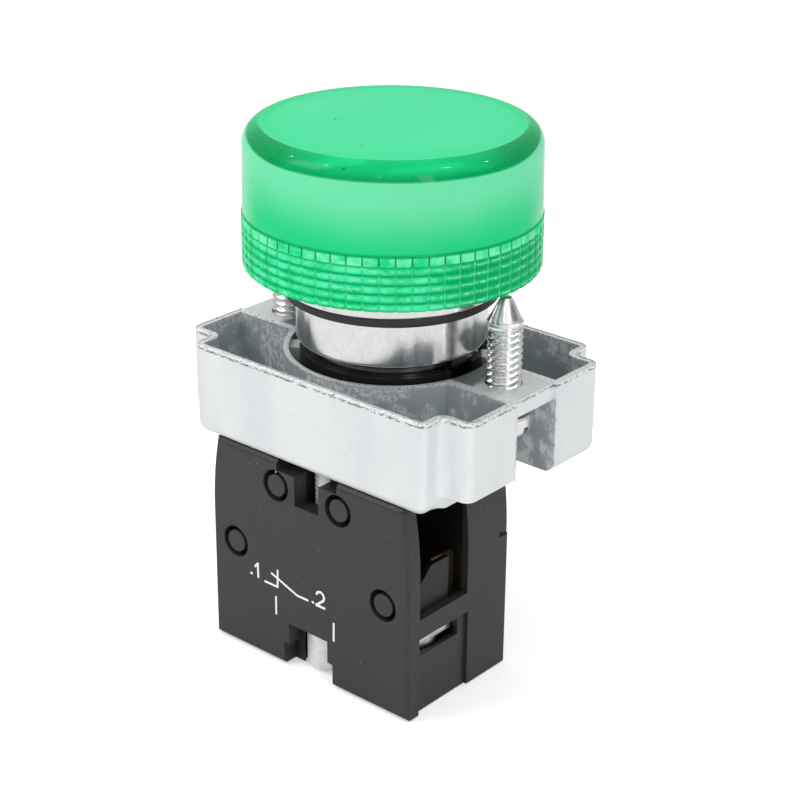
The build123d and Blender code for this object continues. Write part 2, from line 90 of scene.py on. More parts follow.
# Barrel, bracket and contact block
barrel_foot = -5.3
block_foot = cover_low.z
rim_z = bracket_high.z
foot_z = bracket_low.z
floor_z = foot_z + 1.9      # top of the tray's floor
wall = 0.8
corner_step = 3.3
wing_reach = 3.7
channel = 3.5               # half width of the channel under each clamp screw
bridge_start = 12.0
bridge_depth = 1.8
collar_outer = 12.45


# Node graph helpers

def start_material(name):
    """New material with one surface shader."""
    material = bpy.data.materials.new(name)
    material.use_nodes = True
    tree = material.node_tree
    tree.nodes.clear()
    output = tree.nodes.new("ShaderNodeOutputMaterial")
    shader = tree.nodes.new("ShaderNodeBsdfPrincipled")
    tree.links.new(shader.outputs["BSDF"], output.inputs["Surface"])
    return material, shader


def plug(tree, socket, value):
    """Gives a socket a constant or links another node's output to it."""
    if isinstance(value, bpy.types.NodeSocket):
        tree.links.new(value, socket)
    else:
        socket.default_value = value


def maths(tree, operation, *values, clamp=False):
    made = tree.nodes.new("ShaderNodeMath")
    made.operation = operation
    made.use_clamp = clamp
    for socket, value in zip(made.inputs, values):
        plug(tree, socket, value)
    return made.outputs[0]


def all_of(tree, *masks):
    """Mask that is 1 where all of the masks are."""
    total = masks[0]
    for mask in masks[1:]:
        total = maths(tree, "MULTIPLY", total, mask)
    return total


def any_of(tree, *masks):
    """Mask that is 1 where any of the masks is."""
    total = masks[0]
    for mask in masks[1:]:
        total = maths(tree, "MAXIMUM", total, mask)
    return total


def place(tree):
    """Position in the frame of the model, in mm, as x, y and z sockets."""
    where = tree.nodes.new("ShaderNodeTexCoord").outputs["Object"]
    split = tree.nodes.new("ShaderNodeSeparateXYZ")
    tree.links.new(where, split.inputs[0])
    return [maths(tree, "DIVIDE", split.outputs[axis], MM) for axis in range(3)]


def from_axis(tree, x, y):
    """Distance from the light's axis."""
    squares = maths(tree, "ADD", maths(tree, "MULTIPLY", x, x), maths(tree, "MULTIPLY", y, y))
    return maths(tree, "POWER", squares, 0.5)


def noise(tree, size, detail=3.0, stretch=(1, 1, 1), roughness=0.55):
    """Noise with features of about size mm, from 0 to 1."""
    where = tree.nodes.new("ShaderNodeTexCoord").outputs["Object"]
    mapping = tree.nodes.new("ShaderNodeMapping")
    mapping.inputs["Scale"].default_value = [1 / (size * MM * part) for part in stretch]
    texture = tree.nodes.new("ShaderNodeTexNoise")
    texture.inputs["Scale"].default_value = 1.0
    texture.inputs["Detail"].default_value = detail
    texture.inputs["Roughness"].default_value = roughness
    tree.links.new(where, mapping.inputs["Vector"])
    tree.links.new(mapping.outputs[0], texture.inputs["Vector"])
    return texture.outputs["Fac"]


def step(tree, value, low, high):
    """Smooth step from 0 at low to 1 at high; low may be above high."""
    made = tree.nodes.new("ShaderNodeMapRange")
    made.interpolation_type = "SMOOTHSTEP"
    plug(tree, made.inputs["Value"], value)
    made.inputs["From Min"].default_value = low
    made.inputs["From Max"].default_value = high
    return made.outputs[0]


def between(tree, factor, low, high):
    """Number between two numbers."""
    made = tree.nodes.new("ShaderNodeMapRange")
    plug(tree, made.inputs["Value"], factor)
    made.inputs["To Min"].default_value = low
    made.inputs["To Max"].default_value = high
    return made.outputs[0]


def blend(tree, factor, first, second):
    """Colour between two colours."""
    made = tree.nodes.new("ShaderNodeMix")
    made.data_type = "RGBA"
    plug(tree, made.inputs[0], factor)
    for socket, colour in ((made.inputs[6], first), (made.inputs[7], second)):
        plug(tree, socket, colour if isinstance(colour, bpy.types.NodeSocket) else (*colour, 1))
    return made.outputs[2]


def tint(tree, colour, tone, mask, share):
    """Colour that goes a share of the way to a tone where the mask is 1."""
    return blend(tree, maths(tree, "MULTIPLY", mask, share), colour, tone)


def bumped(tree, shader, height, depth, strength):
    """Bump of a depth in mm on the shader's normal."""
    made = tree.nodes.new("ShaderNodeBump")
    made.inputs["Strength"].default_value = strength
    made.inputs["Distance"].default_value = depth * MM
    plug(tree, made.inputs["Height"], height)
    tree.links.new(made.outputs[0], shader.inputs["Normal"])


# Lens plastic

lens_front = -49.0          # middle of the lens's clear side, where its painted light and shade are centred, in degrees from +X
gloom_turn = 48             # from there to the part of its band with painted shade

# Tones of the lens's painted light and shade
lens_pale = (0.21, 0.84, 0.48)
lens_light = (0.165, 0.79, 0.42)
lens_clear = (0.012, 0.66, 0.235)
lens_rear = (0.012, 0.63, 0.22)
lens_middle = (0.008, 0.61, 0.22)
lens_dim = (0.002, 0.50, 0.165)
lens_deep = (0.0008, 0.30, 0.085)


def facing(tree, x, y, radius, degrees):
    """How far the surface lies towards a direction, from -1 to 1."""
    part_x = maths(tree, "MULTIPLY", x, math.cos(math.radians(degrees)))
    part_y = maths(tree, "MULTIPLY", y, math.sin(math.radians(degrees)))
    return maths(tree, "DIVIDE", maths(tree, "ADD", part_x, part_y), radius)


def lens_side(tree, z, forward):
    """Side wall with painted light: pale under the shoulder, reaching lower at the front and paler at both
    sides, clear green above the band.
    """
    cloud = noise(tree, 9.0, 2.0, (1, 1, 1.6))
    height = maths(tree, "ADD", z, between(tree, cloud, -1.2, 1.2))
    # the painted pale zone reaches lower towards the front
    lift = maths(tree, "MULTIPLY", maths(tree, "SUBTRACT", forward, 0.75), 2.2)
    height = maths(tree, "ADD", height, lift)
    side = blend(tree, step(tree, height, band_top + 0.6, side_top - 0.6), lens_clear, lens_light)
    # painted sheen: paler towards both sides
    painted_side_sheen = step(tree, maths(tree, "ABSOLUTE", forward), 0.52, 0.30)
    return tint(tree, side, lens_light, painted_side_sheen, 0.55)


def lens_shoulder(tree, side, across, rise, lean, forward, rear):
    """Thick shoulder with painted shade, the darkest zone, most of all at its two ends. The painted shade
    clears to the rear.
    """
    off_middle = maths(tree, "ABSOLUTE", forward)
    end_zone = step(tree, off_middle, 0.97, 0.60)
    narrowing = step(tree, off_middle, 0.78, -0.10)
    low_edge = maths(tree, "ADD", 0.10, maths(tree, "MULTIPLY", narrowing, 0.60))
    over_edge = maths(tree, "SUBTRACT", lean, low_edge)
    streak = noise(tree, 5.0, 1.0, (1, 1, 0.2))
    middle = blend(tree, step(tree, streak, 0.35, 0.65), lens_dim, lens_middle)
    along_foot = step(tree, over_edge, 0.75, 0.15)
    # painted shade, deepest along the foot of the shoulder and at its two ends
    dark_share = any_of(tree, maths(tree, "MULTIPLY", along_foot, 0.8), end_zone)
    deep = blend(tree, dark_share, middle, lens_deep)
    grain = noise(tree, 0.22, 2.0)
    deep = tint(tree, deep, lens_clear, step(tree, grain, 0.45, 0.75), 0.25)
    # the painted shade clears to the rear
    deep = tint(tree, deep, lens_rear, rear, 0.92)
    # a lighter painted rim near the top of the shoulder
    high_share = maths(tree, "ADD", lean, maths(tree, "MULTIPLY", rear, 0.20))
    rim_tone = blend(tree, rear, (0.035, 0.70, 0.28), lens_clear)
    deep = blend(tree, step(tree, high_share, 1.34, 1.62), deep, rim_tone)
    edge = all_of(tree, step(tree, over_edge, 0.0, 0.14), step(tree, lean, 1.53, 1.40),
                  step(tree, across, -0.1, 0.1), step(tree, rise, -0.1, 0.1))
    return blend(tree, edge, side, deep)


def lens_flat(tree, radius, rear):
    """Flat top with painted light and shade, clearer towards its rim and at the rear."""
    rim = flat_radius - 0.2
    cloud = step(tree, noise(tree, 14.0, 1.0), 0.3, 0.7)
    tone = blend(tree, cloud, (0.040, 0.73, 0.315), (0.058, 0.75, 0.335))
    tone = tint(tree, tone, (0.022, 0.71, 0.285), step(tree, radius, rim - 4.2, rim), 0.6)
    rear_rim = all_of(tree, step(tree, radius, rim - 1.0, rim), rear)
    return tint(tree, tone, lens_clear, rear_rim, 0.85)


def lens_band(tree, turn, z, gloom):
    """Band with ticks between its ribs, over the rows of the inner thread, all painted as seen through the
    plastic, with painted shade on one side and painted highlights.
    """
    share = maths(tree, "FRACT", maths(tree, "MULTIPLY", turn, rib_count / math.tau))
    near_tick = maths(tree, "ABSOLUTE", maths(tree, "SUBTRACT", share, 0.5))
    tick = step(tree, near_tick, 0.425, 0.480)
    below = maths(tree, "SUBTRACT", thread_top, z)
    phase = maths(tree, "FRACT", maths(tree, "DIVIDE", below, thread_pitch))
    from_crest = maths(tree, "ABSOLUTE", maths(tree, "SUBTRACT", phase, 0.5))
    patch = noise(tree, 2.4, 3.0)
    fleck = noise(tree, 0.42, 2.0)
    row = blend(tree, step(tree, patch, 0.36, 0.64), (0.003, 0.62, 0.20), (0.06, 0.86, 0.40))
    # painted shade on the band's shaded side
    gloom = maths(tree, "MULTIPLY", gloom, between(tree, patch, 0.3, 1.2))
    row = blend(tree, gloom, row, (0.0015, 0.36, 0.105))
    # darker roots of the inner thread, painted as seen through the plastic
    root = all_of(tree, step(tree, from_crest, 0.26, 0.44), between(tree, patch, 0.5, 1.2))
    row = blend(tree, root, row, (0.001, 0.38, 0.11))
    # painted highlights on the thread's crests
    painted_shine = between(tree, step(tree, noise(tree, 1.3, 2.0), 0.35, 0.65), 0.15, 0.85)
    dash = all_of(tree, step(tree, from_crest, 0.20, 0.07), step(tree, near_tick, 0.46, 0.34),
                  step(tree, fleck, 0.30, 0.50), painted_shine)
    row = blend(tree, dash, row, lens_pale)
    # painted light in the ticks, against the shade of their grooves
    row = tint(tree, row, (0.05, 0.72, 0.32), tick, 0.7)
    # painted highlights where ticks cross the thread's crests
    crossing = all_of(tree, tick, step(tree, from_crest, 0.30, 0.15), step(tree, fleck, 0.40, 0.62))
    row = blend(tree, crossing, row, lens_pale)
    ring = blend(tree, step(tree, patch, 0.38, 0.62), (0.016, 0.72, 0.26), (0.18, 0.90, 0.48))
    # painted shade in the ticks of the plain ring
    ring = blend(tree, tick, ring, (0.002, 0.33, 0.10))
    return blend(tree, step(tree, below, -0.06, 0.06), ring, row)


def lens_material():
    """Green plastic. Its light and dark zones are painted light and shade, which stand for the refraction of
    the real lens.
    """
    material, shader = start_material("green_lens_plastic")
    tree = material.node_tree
    x, y, z = place(tree)
    radius = from_axis(tree, x, y)
    turn = maths(tree, "ARCTAN2", y, x)
    forward = facing(tree, x, y, radius, lens_front)
    rear = step(tree, forward, 0.42, -0.20)
    across = maths(tree, "SUBTRACT", radius, flat_radius)
    rise = maths(tree, "SUBTRACT", z, side_top)
    lean = maths(tree, "ARCTAN2", rise, across)

    side = lens_side(tree, z, forward)
    upper = lens_shoulder(tree, side, across, rise, lean, forward, rear)
    on_top = all_of(tree, step(tree, lean, 1.38, 1.53), step(tree, z, cap_top - 0.4, cap_top - 0.1))
    upper = blend(tree, on_top, upper, lens_flat(tree, radius, rear))
    # painted shade on one side of the band, gloom_turn from lens_front
    gloom = step(tree, facing(tree, x, y, radius, lens_front + gloom_turn), 0.80, 0.97)
    in_band = step(tree, z, band_top - 0.02, band_top - 0.16)
    colour = blend(tree, in_band, upper, lens_band(tree, turn, z, gloom))
    seam = all_of(tree, step(tree, z, band_top + 0.30, band_top + 0.05),
                  step(tree, z, band_top - 0.25, band_top - 0.05))
    colour = blend(tree, seam, colour, (0.003, 0.42, 0.14))

    # a few dark specks moulded in
    speck = step(tree, noise(tree, 1.1, 0.0), 0.868, 0.882)
    colour = blend(tree, speck, colour, (0.004, 0.22, 0.08))
    plug(tree, shader.inputs["Base Color"], colour)
    plug(tree, shader.inputs["Roughness"], between(tree, noise(tree, 3.0), 0.05, 0.10))
    plug(tree, shader.inputs["Specular IOR Level"], between(tree, in_band, 0.10, 0.025))
    shader.inputs["Subsurface Weight"].default_value = 0.2
    shader.inputs["Subsurface Radius"].default_value = (0.2, 1.0, 0.6)
    shader.inputs["Subsurface Scale"].default_value = 0.6 * MM
    shader.inputs["IOR"].default_value = 1.49
    bumped(tree, shader, noise(tree, 0.35, 2.0), 0.003, 0.2)
    return material


# Metals

def chrome_material():
    """Chrome plate, with painted shade on the skirt below the barrel."""
    material, shader = start_material("chrome_plate")
    tree = material.node_tree
    z = place(tree)[2]
    pull = noise(tree, 0.45, 4.0, (1, 1, 1.6), 0.7)
    cloud = noise(tree, 3.5, 3.0, (1, 1, 2.2))
    tone = blend(tree, step(tree, pull, 0.35, 0.75), (0.74, 0.735, 0.73), (0.84, 0.835, 0.83))
    dull = blend(tree, step(tree, cloud, 0.58, 0.74), tone, (0.56, 0.57, 0.59))
    # painted shade on the skirt below the barrel
    painted_skirt_shade = step(tree, z, barrel_foot - 0.02, barrel_foot - 0.2)
    plug(tree, shader.inputs["Base Color"], blend(tree, painted_skirt_shade, dull, (0.11, 0.11, 0.115)))
    shader.inputs["Metallic"].default_value = 1.0
    plug(tree, shader.inputs["Roughness"], between(tree, noise(tree, 1.2), 0.10, 0.26))
    relief = maths(tree, "ADD", noise(tree, 0.9, 2.0, (1, 1, 2)), noise(tree, 0.35, 3.0))
    bumped(tree, shader, relief, 0.016, 0.35)
    return material


def steel_material(name, tone, rough, metal=1.0):
    """Zinc-plated steel, a little cloudy, with fine marks."""
    material, shader = start_material(name)
    tree = material.node_tree
    cloud = noise(tree, 1.5, 3.0)
    dark = tuple(part * 0.82 for part in tone)
    plug(tree, shader.inputs["Base Color"], blend(tree, step(tree, cloud, 0.35, 0.7), tone, dark))
    shader.inputs["Metallic"].default_value = metal
    plug(tree, shader.inputs["Roughness"], between(tree, cloud, rough, rough + 0.15))
    bumped(tree, shader, noise(tree, 0.25, 3.0), 0.01, 0.25)
    return material


def brass_material(name, tone, darker_brass):
    material, shader = start_material(name)
    tree = material.node_tree
    cloud = noise(tree, 1.4, 3.0)
    plug(tree, shader.inputs["Base Color"], blend(tree, cloud, tone, darker_brass))
    shader.inputs["Metallic"].default_value = 1.0
    plug(tree, shader.inputs["Roughness"], between(tree, cloud, 0.28, 0.45))
    bumped(tree, shader, noise(tree, 0.2), 0.01, 0.4)
    return material


def tray_plan(tree, along, aside):
    """Mask of the bracket's outline seen from above, inside its walls."""
    inset = wall - 0.15

    def inside(reach_x, reach_y):
        return all_of(tree, step(tree, along, reach_x + 0.05, reach_x - 0.05),
                      step(tree, aside, reach_y + 0.05, reach_y - 0.05))

    face = inside(bracket_high.x - wing_reach - inset, bracket_high.y - inset)
    wings = inside(bracket_high.x - inset, bracket_high.y - corner_step - inset)
    return any_of(tree, face, wings)


def zinc_outside(tree, grain):
    """Pale skin of the casting, with fine dark pores."""
    drift = noise(tree, 7.0, 2.0, (1, 1, 3))
    pale = blend(tree, step(tree, drift, 0.35, 0.7), (0.87, 0.885, 0.895), (0.80, 0.82, 0.835))
    return blend(tree, step(tree, grain, 0.62, 0.74), pale, (0.60, 0.62, 0.63))


def painted_pocket_shade(tree, z, mottle):
    """Painted shade of the pockets, slate grey, with bright patches where the pale zinc is left unshaded."""
    scratch = noise(tree, 0.45, 4.0, (1, 1, 1.5), 0.75)
    flow = maths(tree, "ADD", noise(tree, 5.5, 2.0), between(tree, mottle, -0.12, 0.12))
    patches = all_of(tree, step(tree, flow, 0.47, 0.56), step(tree, scratch, 0.36, 0.64))
    slate = blend(tree, patches, (0.44, 0.485, 0.515), (0.86, 0.88, 0.89))
    # more painted shade towards the bottom of the pockets
    painted_low_shade = step(tree, z, foot_z + 5.5, foot_z + 2.0)
    return tint(tree, slate, (0.22, 0.25, 0.27), painted_low_shade, 0.3)


def zinc_material():
    """Satin zinc casting: pale outside, with painted shade, slate grey and mottled, in its pockets."""
    material, shader = start_material("zinc_casting")
    tree = material.node_tree
    x, y, z = place(tree)
    along = maths(tree, "ABSOLUTE", x)
    aside = maths(tree, "ABSOLUTE", y)
    plan = tray_plan(tree, along, aside)
    mottle = noise(tree, 1.5, 5.0, (1, 1, 1.4), 0.7)
    grain = noise(tree, 0.13, 2.0)

    below_rim = step(tree, z, rim_z - 0.15, rim_z - 0.45)
    above_floor = step(tree, z, floor_z - 0.05, floor_z + 0.05)
    outside_collar = step(tree, from_axis(tree, x, y), collar_outer - 0.4, collar_outer - 0.2)
    beside_channel = step(tree, aside, channel + 0.3, channel + 0.5)
    beside_collar = step(tree, along, collar_outer + 0.6, collar_outer + 0.3)
    # the pockets, where the shade is painted
    pocket = all_of(tree, plan, below_rim, above_floor, outside_collar,
                    any_of(tree, beside_channel, beside_collar))
    colour = blend(tree, pocket, zinc_outside(tree, grain), painted_pocket_shade(tree, z, mottle))

    # mottled slate and pale walls of the channel below the bridge, and painted shade under the head's gasket
    # on the inner end of each bridge
    channel_wall_zone = all_of(tree, step(tree, aside, channel + 0.25, channel + 0.1),
                       step(tree, along, bridge_start, bridge_start + 0.4),
                       step(tree, z, rim_z - bridge_depth, rim_z - bridge_depth - 0.3))
    channel_wall_tone = blend(tree, step(tree, mottle, 0.40, 0.62), (0.42, 0.455, 0.475), (0.80, 0.82, 0.83))
    colour = blend(tree, channel_wall_zone, colour, channel_wall_tone)
    ragged = maths(tree, "ADD", along, between(tree, mottle, -1.2, 1.2))
    # painted shade under the head's gasket
    painted_gasket_shade = all_of(tree, step(tree, aside, channel + 0.05, channel - 0.25),
                     step(tree, z, rim_z - 1.5, rim_z - 1.2),
                     step(tree, ragged, bridge_start + 3.0, bridge_start + 1.9))
    colour = tint(tree, colour, (0.12, 0.14, 0.155), painted_gasket_shade, 0.85)

    # the cast rim is rough: bright chips and dark nicks
    at_rim = all_of(tree, step(tree, z, rim_z - 0.32, rim_z - 0.12),
                    step(tree, aside, channel - 0.4, channel))
    chips = noise(tree, 0.28, 3.0, (1, 1, 1), 0.7)
    rim_tone = blend(tree, step(tree, chips, 0.37, 0.43), (0.28, 0.30, 0.31), (0.95, 0.95, 0.95))
    colour = blend(tree, at_rim, colour, rim_tone)
    outer_edge = all_of(tree, step(tree, z, rim_z - 0.52, rim_z - 0.36),
                        step(tree, z, rim_z - 0.10, rim_z - 0.22), step(tree, plan, 0.6, 0.4))
    nicks = noise(tree, 0.42, 3.0, (1.6, 1.6, 0.6), 0.7)
    nicked = all_of(tree, outer_edge, step(tree, nicks, 0.46, 0.54))
    colour = blend(tree, nicked, colour, (0.24, 0.26, 0.27))

    plug(tree, shader.inputs["Base Color"], colour)
    dull_zone = any_of(tree, pocket, channel_wall_zone)
    plug(tree, shader.inputs["Metallic"], between(tree, dull_zone, 0.7, 0.35))
    plug(tree, shader.inputs["Roughness"], between(tree, mottle, 0.38, 0.60))
    relief = maths(tree, "ADD", grain, maths(tree, "MULTIPLY", mottle, 0.8))
    rim_chips = maths(tree, "MULTIPLY", maths(tree, "MULTIPLY", at_rim, chips), 3.0)
    bumped(tree, shader, maths(tree, "ADD", relief, rim_chips), 0.04, 0.5)
    return material


# Plastics, rubber, print and glass

def moulded_finish(tree, shader, smooth, dull):
    """Fine spark-eroded texture of a moulding, from smooth to dull."""
    plug(tree, shader.inputs["Roughness"], between(tree, noise(tree, 1.2), smooth, dull))
    bumped(tree, shader, noise(tree, 0.11, 2.0), 0.012, 0.35)


def moulded_material(name, tone, rough):
    material, shader = start_material(name)
    tree = material.node_tree
    light = tuple(min(1.0, part * 1.25) for part in tone)
    plug(tree, shader.inputs["Base Color"], blend(tree, noise(tree, 5.0, 3.0), tone, light))
    moulded_finish(tree, shader, rough - 0.06, rough + 0.08)
    return material


def block_material():
    """Dark grey plastic of the contact block with a little dust, with painted shade inside its windows and a
    painted shadow along its top under the bracket.
    """
    material, shader = start_material("block_plastic")
    tree = material.node_tree
    x, y, z = place(tree)
    inner_wall = 14.17
    cover_back = cover_high.y
    housing_back = housing_high.y
    colour = blend(tree, noise(tree, 5.0, 3.0), (0.021, 0.021, 0.022), (0.027, 0.027, 0.028))
    dust = step(tree, noise(tree, 0.42, 1.0), 0.755, 0.80)
    colour = tint(tree, colour, (0.42, 0.42, 0.42), dust, 0.3)
    aside = maths(tree, "ABSOLUTE", x)
    # painted shade inside the block, seen through its windows
    painted_window_shade = all_of(tree, step(tree, aside, inner_wall + 0.05, inner_wall - 0.05),
                    step(tree, y, cover_back - 0.1, cover_back + 0.1),
                    step(tree, y, housing_back - 0.3, housing_back - 0.6),
                    step(tree, z, block_foot + 0.3, block_foot + 0.5))
    # painted shadow of the bracket along the top of the block
    painted_top_shadow = step(tree, z, cover_high.z - 0.62, cover_high.z - 0.5)
    colour = blend(tree, any_of(tree, painted_window_shade, painted_top_shadow), colour, (0.004, 0.004, 0.0045))
    plug(tree, shader.inputs["Base Color"], colour)
    moulded_finish(tree, shader, 0.36, 0.50)
    return material


def glass_material():
    """Lamp: clear glass above a nickel-plated base."""
    material, shader = start_material("lamp_glass_and_base")
    tree = material.node_tree
    z = place(tree)[2]
    base_height = 11.4
    base_top = node_box("lamp_bulb")[0].z + base_height
    is_base = step(tree, z, base_top + 0.05, base_top - 0.05)
    colour = blend(tree, is_base, (0.92, 0.95, 0.96), (0.62, 0.60, 0.56))
    plug(tree, shader.inputs["Base Color"], colour)
    plug(tree, shader.inputs["Metallic"], is_base)
    plug(tree, shader.inputs["Transmission Weight"], maths(tree, "SUBTRACT", 0.9, is_base, clamp=True))
    plug(tree, shader.inputs["Roughness"], between(tree, noise(tree, 1.0), 0.04, 0.2))
    return material


materials = {
    "lens": lens_material(),
    "chrome": chrome_material(),
    "rubber": moulded_material("black_rubber", (0.018, 0.018, 0.018), 0.55),
    "lamp_glass": glass_material(),
    "black_plastic": moulded_material("black_socket_plastic", (0.012, 0.012, 0.013), 0.3),
    "brass": brass_material("plain_brass", (0.34, 0.23, 0.10), (0.22, 0.15, 0.07)),
    "dark_brass": brass_material("dark_brass", (0.15, 0.11, 0.06), (0.08, 0.06, 0.035)),
    "zinc": zinc_material(),
    "steel": steel_material("plated_steel", (0.86, 0.86, 0.87), 0.19),
    "pale_steel": steel_material("pale_plated_steel", (0.95, 0.955, 0.96), 0.4, metal=0.45),
    "block_plastic": block_material(),
    "white_plastic": moulded_material("white_plastic", (0.78, 0.78, 0.74), 0.4),
    "spring_steel": steel_material("spring_wire", (0.55, 0.55, 0.57), 0.25),
    "print": moulded_material("white_print", (0.88, 0.88, 0.88), 0.5),
    "flash": steel_material("cast_flash", (0.93, 0.93, 0.93), 0.25),
}


# Mesh helpers

def shell_of(mesh):
    """Editable copy of a mesh."""
    shell = bmesh.new()
    shell.from_mesh(mesh)
    return shell


def settle(shell, mesh):
    """Turns the faces of a shell outward and writes it to a mesh."""
    bmesh.ops.recalc_face_normals(shell, faces=shell.faces)
    shell.to_mesh(mesh)
    shell.free()


def smooth(mesh, angle):
    """Smooth shading, with edges sharper than an angle in degrees kept sharp."""
    for polygon in mesh.polygons:
        polygon.use_smooth = True
    if angle is not None:
        mesh.set_sharp_from_angle(angle=math.radians(angle))


def finished(name, mesh, material, body, smooth_angle=None):
    """Object of a mesh, with its material, riding on its body."""
    piece = bpy.data.objects.new(name, mesh)
    bpy.context.scene.collection.objects.link(piece)
    mesh.materials.clear()
    mesh.materials.append(material)
    smooth(mesh, smooth_angle)
    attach(piece, body)
    return piece


def tube_mesh(name, rings):
    """Closed tube through rings of points in mm, each with as many points as the next."""
    sides = len(rings[0])
    faces = []
    for row in range(len(rings) - 1):
        low, high = row * sides, (row + 1) * sides
        for side in range(sides):
            after = (side + 1) % sides
            faces.append((low + side, low + after, high + after, high + side))
    last = (len(rings) - 1) * sides
    faces.append(tuple(reversed(range(sides))))
    faces.append(tuple(range(last, last + sides)))
    mesh = bpy.data.meshes.new(name)
    mesh.from_pydata([[part * MM for part in point] for ring in rings for point in ring], [], faces)
    settle(shell_of(mesh), mesh)
    return mesh


def turned_mesh(name, profile, segments, centre=(0.0, 0.0), shape=None):
    """Surface of revolution in mm through (radius, height) points, closed at both ends.
    shape(radius, height, angle) may give another radius."""
    rings = []
    for radius, height in profile:
        ring = []
        for count in range(segments):
            angle = math.tau * count / segments
            reach = shape(radius, height, angle) if shape else radius
            ring.append((centre[0] + reach * math.cos(angle), centre[1] + reach * math.sin(angle), height))
        rings.append(ring)
    return tube_mesh(name, rings)


def hollowed(mesh):
    """Shell of a turned mesh with its two closed ends opened and joined by a wall."""
    shell = shell_of(mesh)
    ends = [face for face in shell.faces if len(face.verts) > 4]
    edges = [edge for face in ends for edge in face.edges]
    bmesh.ops.delete(shell, geom=ends, context="FACES_ONLY")
    bmesh.ops.bridge_loops(shell, edges=edges)
    return shell


def arc(centre, radius, start, end, count):
    """Points of an arc, from one angle to another in degrees."""
    angles = [math.radians(start + (end - start) * part / count) for part in range(count + 1)]
    return [(centre[0] + radius * math.cos(a), centre[1] + radius * math.sin(a)) for a in angles]


def line(first, second, count):
    """Points from first up to, but without, second."""
    return [(first[0] + (second[0] - first[0]) * part / count,
             first[1] + (second[1] - first[1]) * part / count) for part in range(count)]


def thread_wave(height, angle, pitch):
    """Depth share of a rounded thread, 0 at its crest and 1 at its root."""
    phase = (height / pitch - angle / math.tau) % 1.0
    return 0.5 - 0.5 * math.cos(math.tau * phase)


def softened(node, body, slot_name, width):
    """Stands a copy of a node of the model, with its sharp edges rounded, in its place."""
    mesh = frame["nodes"][node].data.copy()
    shell = shell_of(mesh)
    bmesh.ops.remove_doubles(shell, verts=shell.verts, dist=0.002 * MM)
    bmesh.ops.dissolve_limit(shell, angle_limit=math.radians(0.6), verts=shell.verts, edges=shell.edges)
    bmesh.ops.connect_verts_concave(shell, faces=shell.faces)
    shell.to_mesh(mesh)
    shell.free()
    mesh.name = node + "_finish"
    if mesh.has_custom_normals:
        mesh.attributes.remove(mesh.attributes["custom_normal"])
    piece = finished(node + "_finish", mesh, materials[slot_name], body)
    rounding = piece.modifiers.new("rounding", "BEVEL")
    rounding.width = width * MM
    rounding.segments = 3
    rounding.limit_method = "ANGLE"
    rounding.angle_limit = math.radians(38)
    rounding.miter_outer = "MITER_ARC"
    shading = piece.modifiers.new("shading", "WEIGHTED_NORMAL")
    shading.keep_sharp = True
    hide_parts(node)


# Lens cap, with ribs outside and a thread inside

def make_lens():
    bore = 15.28
    thread_depth = 0.45
    roof = 1.9
    cavity = cap_radius - 1.85 - cap_draft
    ceiling = cap_top - roof
    hub = 0.4               # radius of the small facet that closes each end
    rib_groove, rib_crown, groove_share = 0.16, 0.05, 0.13
    profile = [(hub, ceiling)]
    profile += line((4.0, ceiling), (cavity - 0.6, ceiling), 3)
    profile += arc((cavity - 0.6, ceiling - 0.6), 0.6, 90, 0, 4)
    profile += line((cavity, ceiling - 1.5), (cavity, band_top - 0.3), 3)
    profile += [(cavity, band_top - 0.3), (bore, thread_top)]
    profile += line((bore, thread_top - 0.1), (bore, cap_foot + 0.4), 30)
    profile += [(bore, cap_foot + 0.3), (bore + 0.3, cap_foot)]
    profile += arc((cap_radius - 0.25, cap_foot + 0.25), 0.25, -90, 0, 3)
    profile += line((cap_radius, cap_foot + 0.5), (cap_radius, band_top - 0.1), 12)
    profile += arc((cap_radius - 0.12, band_top - 0.12), 0.12, 0, 80, 3)
    profile += [(cap_radius - cap_draft / 2, band_top + 0.06)]
    profile += line((cap_radius - cap_draft / 2, band_top + 0.4), (top_radius, side_top - 0.2), 8)
    profile += arc((flat_radius, side_top), shoulder, 0, 90, 14)
    rest = flat_radius - 0.3
    profile += [(rest, cap_top), (rest * 0.7, cap_top), (rest * 0.35, cap_top), (hub, cap_top)]

    def ribbed(radius, height, angle):
        if radius > cap_radius - 0.30 and height < band_top - 0.02:
            share = (angle * rib_count / math.tau) % 1.0
            groove = max(0.0, 1.0 - min(share, 1.0 - share) / groove_share)
            crown = math.sin(math.pi * share) - 1.0
            return radius - rib_groove * groove + rib_crown * crown
        if abs(radius - bore) < 0.01 and cap_foot + 0.35 < height < thread_top:
            return radius + thread_depth * (1.0 - thread_wave(height, angle, thread_pitch))
        return radius

    mesh = turned_mesh("green_lens", profile, rib_count * 8, shape=ribbed)
    piece = finished("green_lens", mesh, materials["lens"], "cap", 38)
    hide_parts("lens_cap")


# Chromed bezel: barrel, flange and thread ring in one piece

